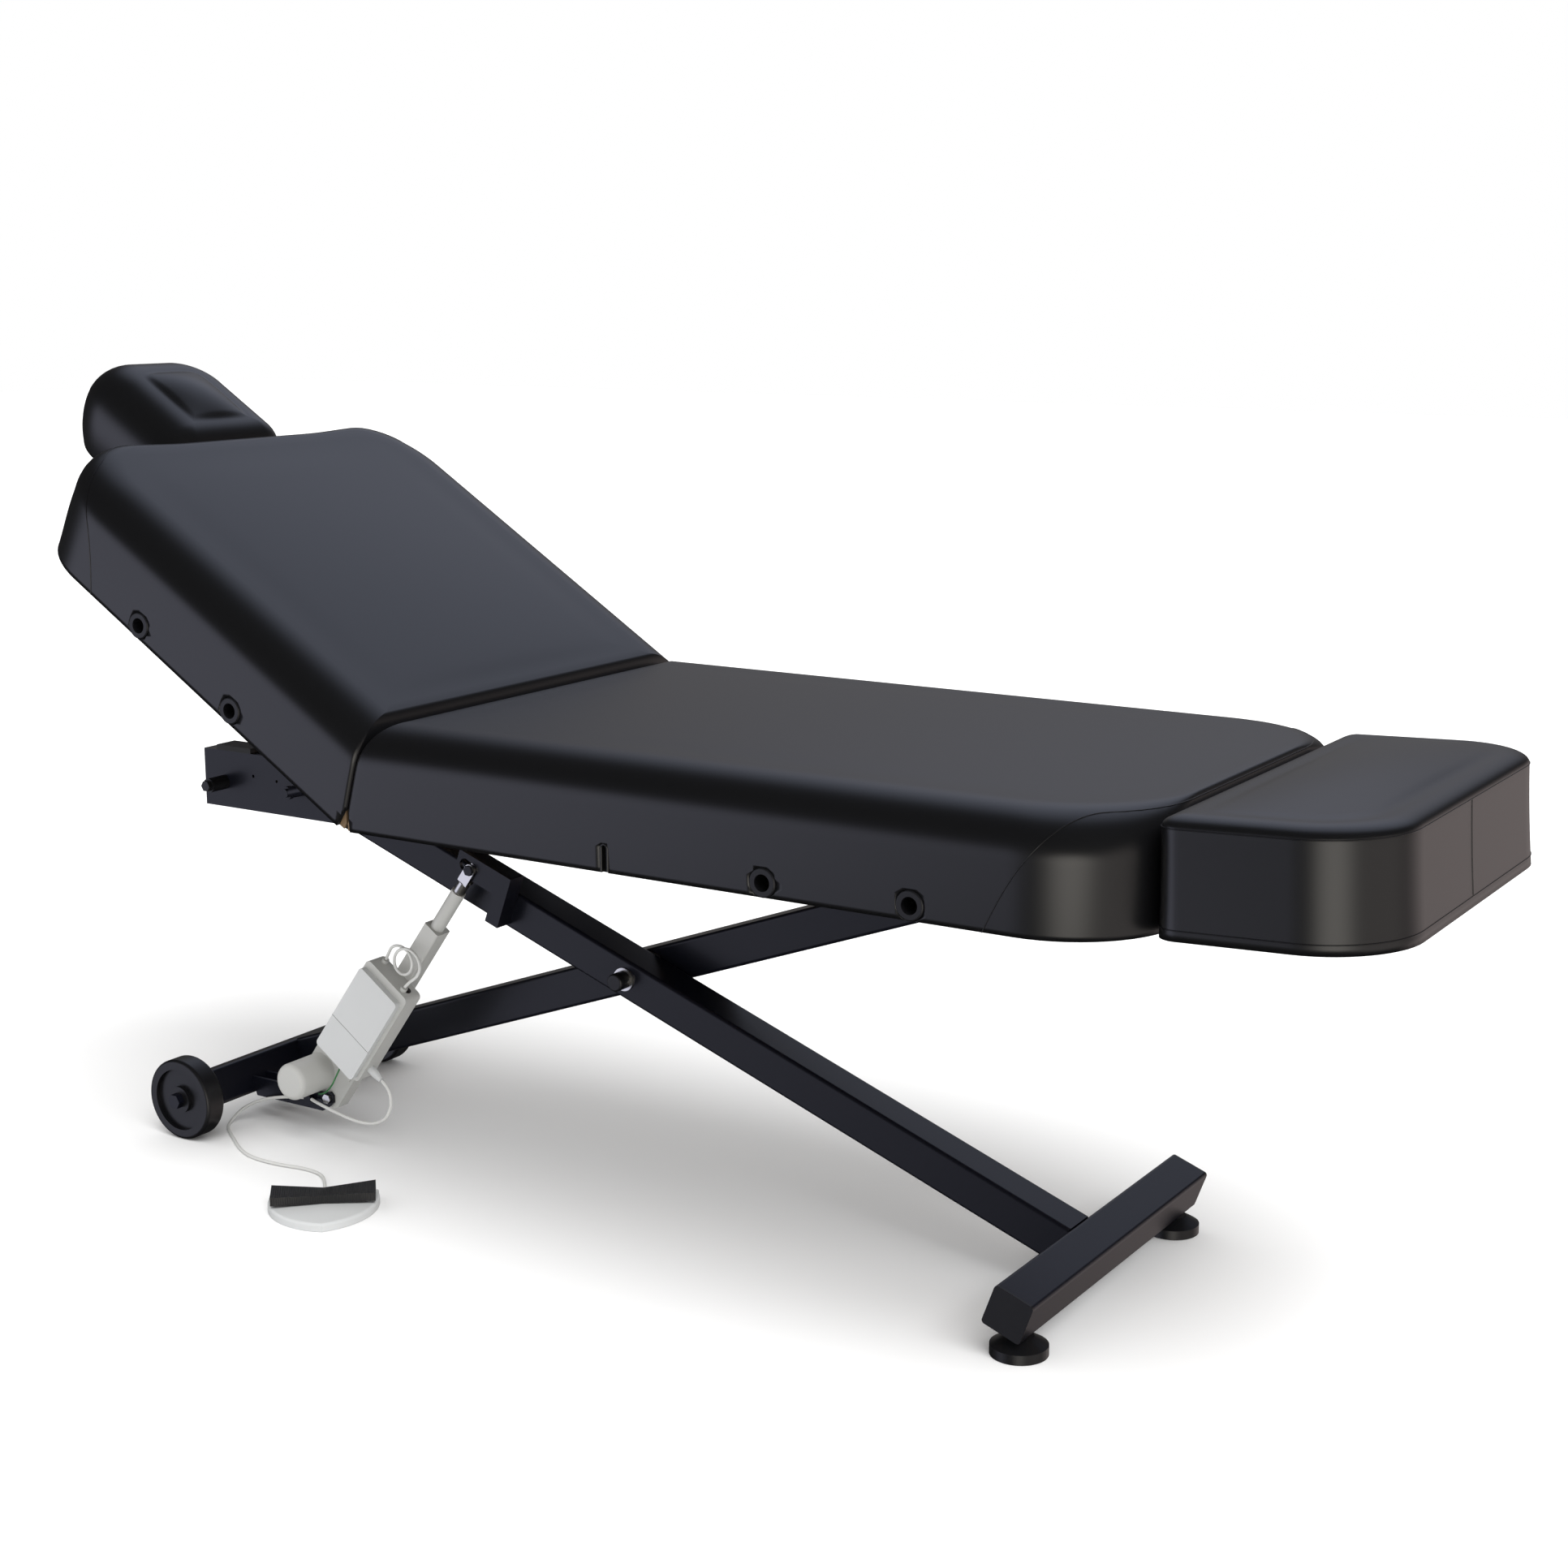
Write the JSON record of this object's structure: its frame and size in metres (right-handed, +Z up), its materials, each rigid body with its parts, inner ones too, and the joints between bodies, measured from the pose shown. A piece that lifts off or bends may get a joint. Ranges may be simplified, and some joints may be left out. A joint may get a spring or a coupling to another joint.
{
  "type": "electric_treatment_chair",
  "caption": "Black padded electric treatment chair with a tilting backrest, headrest and footrest on a scissor lift with wheels, a linear motor and a foot switch.",
  "frame": {"origin": "the floor below the scissor pivot, midway between the two sides", "axes": "+X towards the foot end, +Y towards the far side, +Z up"},
  "size_m": [2.2486, 0.8008, 1.1806],
  "materials": {
    "vinyl": "satin vinyl with a fine grain",
    "wood": "bare plywood and pine",
    "frame_paint": "gloss powder coat, blue-black",
    "black_plastic": "moulded, half gloss",
    "black_rubber": "matt",
    "zinc": "bright zinc plate",
    "strut_black": "satin black",
    "motor_plastic": "fine grain",
    "motor_tube_metal": "satin anodised",
    "white_plastic": "fine grain",
    "cord_white": "matt",
    "wire_green": "smooth"
  },
  "bodies": {
    "floor_feet": {"foot_pads": "black_plastic", "foot_stems": "zinc"},
    "leg_a": {"leg_a_tube": "frame_paint", "foot_bar": "frame_paint", "foot_bar_caps": "black_plastic", "pivot_bolt": "zinc", "pivot_washers": "zinc", "pivot_cap": "black_plastic", "roller_axle": "zinc"},
    "rollers": {"track_rollers": "black_plastic"},
    "leg_b": {"leg_b_tube": "frame_paint", "wheel_bar": "frame_paint", "wheel_axles": "strut_black", "rear_pin": "zinc"},
    "near_side_wheel": {"near_wheel": "black_plastic"},
    "far_side_wheel": {"far_wheel": "black_plastic"},
    "lift_motor": {"motor_housing": "motor_plastic", "motor_outer_tube": "motor_tube_metal", "motor_can": "motor_plastic", "control_box_base": "motor_plastic", "control_box_lid": "white_plastic", "switch_plug": "white_plastic", "motor_cable": "cord_white", "switch_cable_upper": "cord_white", "earth_wire": "wire_green"},
    "lift_rod": {"push_rod": "motor_tube_metal", "push_rod_fork": "zinc", "front_pin": "strut_black"},
    "seat": {"seat_rails": "frame_paint", "seat_cross_bars": "frame_paint", "top_hinge_axle": "zinc", "top_hinge_spacers": "zinc", "backrest_bumpers": "black_rubber", "stop_bolts": "black_plastic", "seat_frame": "wood", "seat_deck": "wood", "seat_cushion": "vinyl", "seat_crease_foam": "vinyl", "seat_ports": "black_plastic", "seat_hinge_leaves": "zinc", "footrest_sockets": "zinc"},
    "backrest": {"backrest_frame": "wood", "backrest_deck": "wood", "backrest_cushion": "vinyl", "backrest_crease_foam": "vinyl", "backrest_ports": "black_plastic", "backrest_hinge_leaves": "zinc", "strut_brackets": "frame_paint", "headrest_sockets": "zinc"},
    "headrest": {"headrest_cushion": "vinyl", "headrest_frame": "wood", "headrest_posts": "zinc"},
    "footrest": {"footrest_cushion": "vinyl", "footrest_frame": "wood", "footrest_posts": "zinc"},
    "strut_cylinders": {"gas_strut_cylinders": "strut_black"},
    "strut_rods": {"gas_strut_rods": "zinc"},
    "foot_switch": {"foot_switch_base": "white_plastic", "switch_cable_lower": "cord_white"},
    "switch_rocker": {"foot_switch_rocker": "black_plastic"}
  },
  "joints": [
    {"name": "lift", "type": "hinge", "parent": "floor_feet", "child": "leg_a", "pos_m": [0.72826, 0, 0.0635], "axis": [0, 1, 0], "range_deg": [-9, 5.5]},
    {"name": "scissor", "type": "hinge", "parent": "leg_a", "child": "leg_b", "pos_m": [0, 0, 0.32857], "axis": [0, 1, 0], "range_deg": [-11, 18]},
    {"name": "seat_level", "type": "hinge", "parent": "leg_b", "child": "seat", "pos_m": [0.64181, 0, 0.56217], "axis": [0, 1, 0], "range_deg": [-9, 5.5]},
    {"name": "near_wheel_spin", "type": "hinge", "parent": "leg_b", "child": "near_side_wheel", "pos_m": [-0.72826, -0.208, 0.0635], "axis": [0, 1, 0], "continuous": true},
    {"name": "far_wheel_spin", "type": "hinge", "parent": "leg_b", "child": "far_side_wheel", "pos_m": [-0.72826, 0.208, 0.0635], "axis": [0, 1, 0], "continuous": true},
    {"name": "roller_spin", "type": "hinge", "parent": "leg_a", "child": "rollers", "pos_m": [-0.64181, 0, 0.56217], "axis": [0, 1, 0], "continuous": true},
    {"name": "motor_swing", "type": "hinge", "parent": "leg_b", "child": "lift_motor", "pos_m": [-0.5405, -0.092, 0.062], "axis": [0, 1, 0], "range_deg": [-1.4, 2.3]},
    {"name": "motor_stroke", "type": "slide", "parent": "lift_motor", "child": "lift_rod", "axis": [0.5835, 0, 0.8121], "range_m": [-0.0868, 0.0532]},
    {"name": "backrest_tilt", "type": "hinge", "parent": "seat", "child": "backrest", "pos_m": [-0.2375, 0, 0.588], "axis": [0, 1, 0], "range_deg": [-32, 28], "deforming": ["seat_crease_foam", "backrest_crease_foam"]},
    {"name": "strut_swing", "type": "hinge", "parent": "seat", "child": "strut_cylinders", "pos_m": [-0.5425, 0, 0.559], "axis": [0, 1, 0], "range_deg": [-3.5, 3.9]},
    {"name": "strut_stroke", "type": "slide", "parent": "strut_cylinders", "child": "strut_rods", "axis": [0.9648, 0, 0.2629], "range_m": [-0.0272, 0.0238]},
    {"name": "headrest_pull", "type": "slide", "parent": "backrest", "child": "headrest", "axis": [-0.848, 0, 0.5299], "range_m": [0, 0.08]},
    {"name": "footrest_pull", "type": "slide", "parent": "seat", "child": "footrest", "axis": [1, 0, 0], "range_m": [0, 0.08]},
    {"name": "switch_trail", "type": "hinge", "parent": "leg_b", "child": "foot_switch", "pos_m": [-0.72826, 0, 0.0635], "axis": [0, 1, 0], "range_deg": [-9, 5.5]},
    {"name": "rocker_press", "type": "hinge", "parent": "foot_switch", "child": "switch_rocker", "pos_m": [-0.34144, -0.33762, 0.016], "axis": [-0.6561, 0.7547, 0], "range_deg": [-3, 3], "stiffness_Nm_per_rad": 1.5}
  ],
  "couplings": [
    {"joint": "scissor", "follows": "lift", "ratio": -2},
    {"joint": "seat_level", "follows": "lift", "ratio": 1},
    {"joint": "motor_swing", "follows": "lift", "ratio": -0.25},
    {"joint": "motor_stroke", "follows": "lift", "m_per_rad": 0.55},
    {"joint": "switch_trail", "follows": "lift", "ratio": 1},
    {"joint": "strut_swing", "follows": "backrest_tilt", "ratio": -0.12},
    {"joint": "strut_stroke", "follows": "backrest_tilt", "m_per_rad": 0.048}
  ]
}
